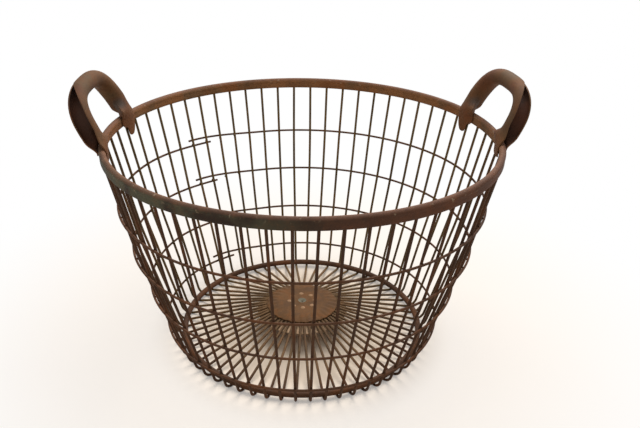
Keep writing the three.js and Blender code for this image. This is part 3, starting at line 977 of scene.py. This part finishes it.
        # The inner faces get the darker hollow finish: dirt and painted shade.
        grip.data.materials.append(finishes()["basket_grip_hollow"])
        thicken(grip, s.grip_sheet, use_even_offset=False, material_offset=1, material_offset_rim=0)
        ease_edges(grip, edge_round, angle=50)
        right = Matrix.Rotation(s.handle_place, 4, 'Z')
        handle = copied(grip, "rolled_handle_right", right)
        finish_piece(handle, ["handle_right"])
        handle = copied(grip, "rolled_handle_left", Matrix.Scale(-1, 4, (1, 0, 0)) @ right)
        handle.data.flip_normals()
        finish_piece(handle, ["handle_left"])
        bpy.data.objects.remove(grip)
        return {'FINISHED'}


class BASKET_OT_stage(bpy.types.Operator):
    """Lays the pale floor, hangs the soft lights and sets up the camera"""

    bl_idname = "basket.stage"
    bl_label = "Stage"

    def floor(self, tint):
        """A wide pale floor, which fades to white round the basket for what the camera sees; the fade starts under the
        basket, so the camera sees painted shade there.
        """
        wide, below = 4.0, 0.0002
        # The fade starts inside the base ring, leaving the darker floor tint under the basket as painted shade.
        under, near, far, near_share = 0.10, 0.19, 0.52, 0.58
        clear_selection()
        bpy.ops.mesh.primitive_circle_add(vertices=96, radius=wide, fill_type='NGON', location=(0, 0, -below))
        floor = fresh("floor")
        f = Finish(bpy.data.materials.new("pale_floor"))
        mottle = f.between(f.noise(9.0, 4.0, 0.6), 0.35, 0.7) * 0.25
        colour = f.blend(mottle, tint, tuple(c * 0.97 for c in tint))
        skin = f.skin(colour, 0.85, 0.0, f.noise(260.0, 3.0, 0.6), reach=0.0004, strength=0.08)
        white = f.node('ShaderNodeEmission', None, {"Color": (1.0, 1.0, 1.0), "Strength": 1.0})
        away = f.radius()
        fade = f.between(away, under, near) * near_share + f.between(away, near, far) * (1 - near_share)
        f.show(f.node('ShaderNodeMixShader', None, {0: fade * self.seen(f), 1: skin, 2: white}))
        floor.data.materials.append(f.owner)

    def seen(self, f):
        """1 for what the camera sees, straight, mirrored or through glass."""
        kinds = ('Is Camera Ray', 'Is Glossy Ray', 'Is Transmission Ray')
        straight, mirrored, through = [f.node('ShaderNodeLightPath', out=kind) for kind in kinds]
        return f.between(straight + mirrored + through, 0.2, 0.8)

    def sky(self, strength):
        """Soft light from all round, and white behind the basket."""
        f = Finish(bpy.data.worlds.new("studio"))
        bpy.context.scene.world = f.owner
        soft = f.node('ShaderNodeBackground', None, {"Color": (1.0, 0.99, 0.97), "Strength": strength})
        white = f.node('ShaderNodeBackground', None, {"Color": (1.0, 1.0, 1.0), "Strength": 1.0})
        both = f.node('ShaderNodeMixShader', None, {0: self.seen(f), 1: soft, 2: white})
        f.node('ShaderNodeOutputWorld', None, {"Surface": both})

    def lamp(self, name, place, aim, size, power):
        """A round soft light of a width and watts, turned to a point."""
        bpy.ops.object.light_add(type='AREA', location=place)
        lamp = bpy.context.active_object
        lamp.name = name
        lamp.data.shape = 'DISK'
        lamp.data.size = size
        lamp.data.energy = power
        way = Vector(aim) - Vector(place)
        lamp.rotation_euler = way.to_track_quat('-Z', 'Y').to_euler()

    def camera(self):
        """The camera as fitted to the photograph: angles in degrees, focal length and picture width in pixels."""
        round_basket, heading, pitch, lean = -5.3, -5.14, 25.9, 1.11
        stand = (0.0216, -0.7495, 0.5141)
        focal, picture, sensor = 728.9, 640, 36.0
        bpy.ops.object.camera_add()
        camera = bpy.context.active_object
        camera.name = "photo_camera"
        place = Matrix.Rotation(math.radians(round_basket), 4, 'Z') @ Vector(stand)
        aim = Matrix.Rotation(math.radians(heading), 4, 'Z')
        tilt = Matrix.Rotation(math.radians(90 - pitch), 4, 'X')
        roll = Matrix.Rotation(math.radians(lean), 4, 'Z')
        camera.matrix_world = Matrix.Translation(place) @ aim @ tilt @ roll
        camera.data.sensor_fit = 'HORIZONTAL'
        camera.data.sensor_width = sensor
        camera.data.lens = focal / picture * sensor
        camera.data.clip_start = 0.01
        bpy.context.scene.camera = camera

    def execute(self, context):
        clear_selection()
        self.floor(context.scene.basket_colours.floor_tint)
        self.sky(strength=0.43)
        self.lamp("key_light", (0.42, 0.72, 1.50), aim=(0, 0, 0.08), size=1.5, power=36.0)
        self.lamp("front_light", (-0.4, -0.9, 1.5), aim=(0, 0, 0.15), size=1.2, power=7.5)
        self.camera()
        context.scene.view_settings.view_transform = 'Standard'
        return {'FINISHED'}


class BASKET_PT_panel(bpy.types.Panel):
    """Sizes and steps of the basket"""

    bl_idname = "BASKET_PT_panel"
    bl_label = "Wire harvest basket"
    bl_space_type = 'VIEW_3D'
    bl_region_type = 'UI'
    bl_category = "Basket"

    def draw(self, context):
        for step in STEPS:
            self.layout.operator(step.bl_idname)
        for group in (context.scene.basket_sizes, context.scene.basket_colours):
            column = self.layout.column()
            for name in group.__annotations__:
                column.prop(group, name)


STEPS = (
    BASKET_OT_stage,
    BASKET_OT_rim,
    BASKET_OT_ribs,
    BASKET_OT_hoops,
    BASKET_OT_base_ring,
    BASKET_OT_floor_plates,
    BASKET_OT_handles,
)
CLASSES = (BasketSizes, BasketColours, *STEPS, BASKET_PT_panel)


def register():
    for each in CLASSES:
        bpy.utils.register_class(each)
    bpy.types.Scene.basket_sizes = PointerProperty(type=BasketSizes)
    bpy.types.Scene.basket_colours = PointerProperty(type=BasketColours)


def unregister():
    del bpy.types.Scene.basket_colours
    del bpy.types.Scene.basket_sizes
    for each in reversed(CLASSES):
        bpy.utils.unregister_class(each)


def main():
    register()
    bpy.ops.basket.stage()
    bpy.ops.basket.rim()
    bpy.ops.basket.ribs()
    bpy.ops.basket.hoops()
    bpy.ops.basket.base_ring()
    bpy.ops.basket.floor_plates()
    bpy.ops.basket.handles()
    clear_selection()


if __name__ == "__main__":
    main()
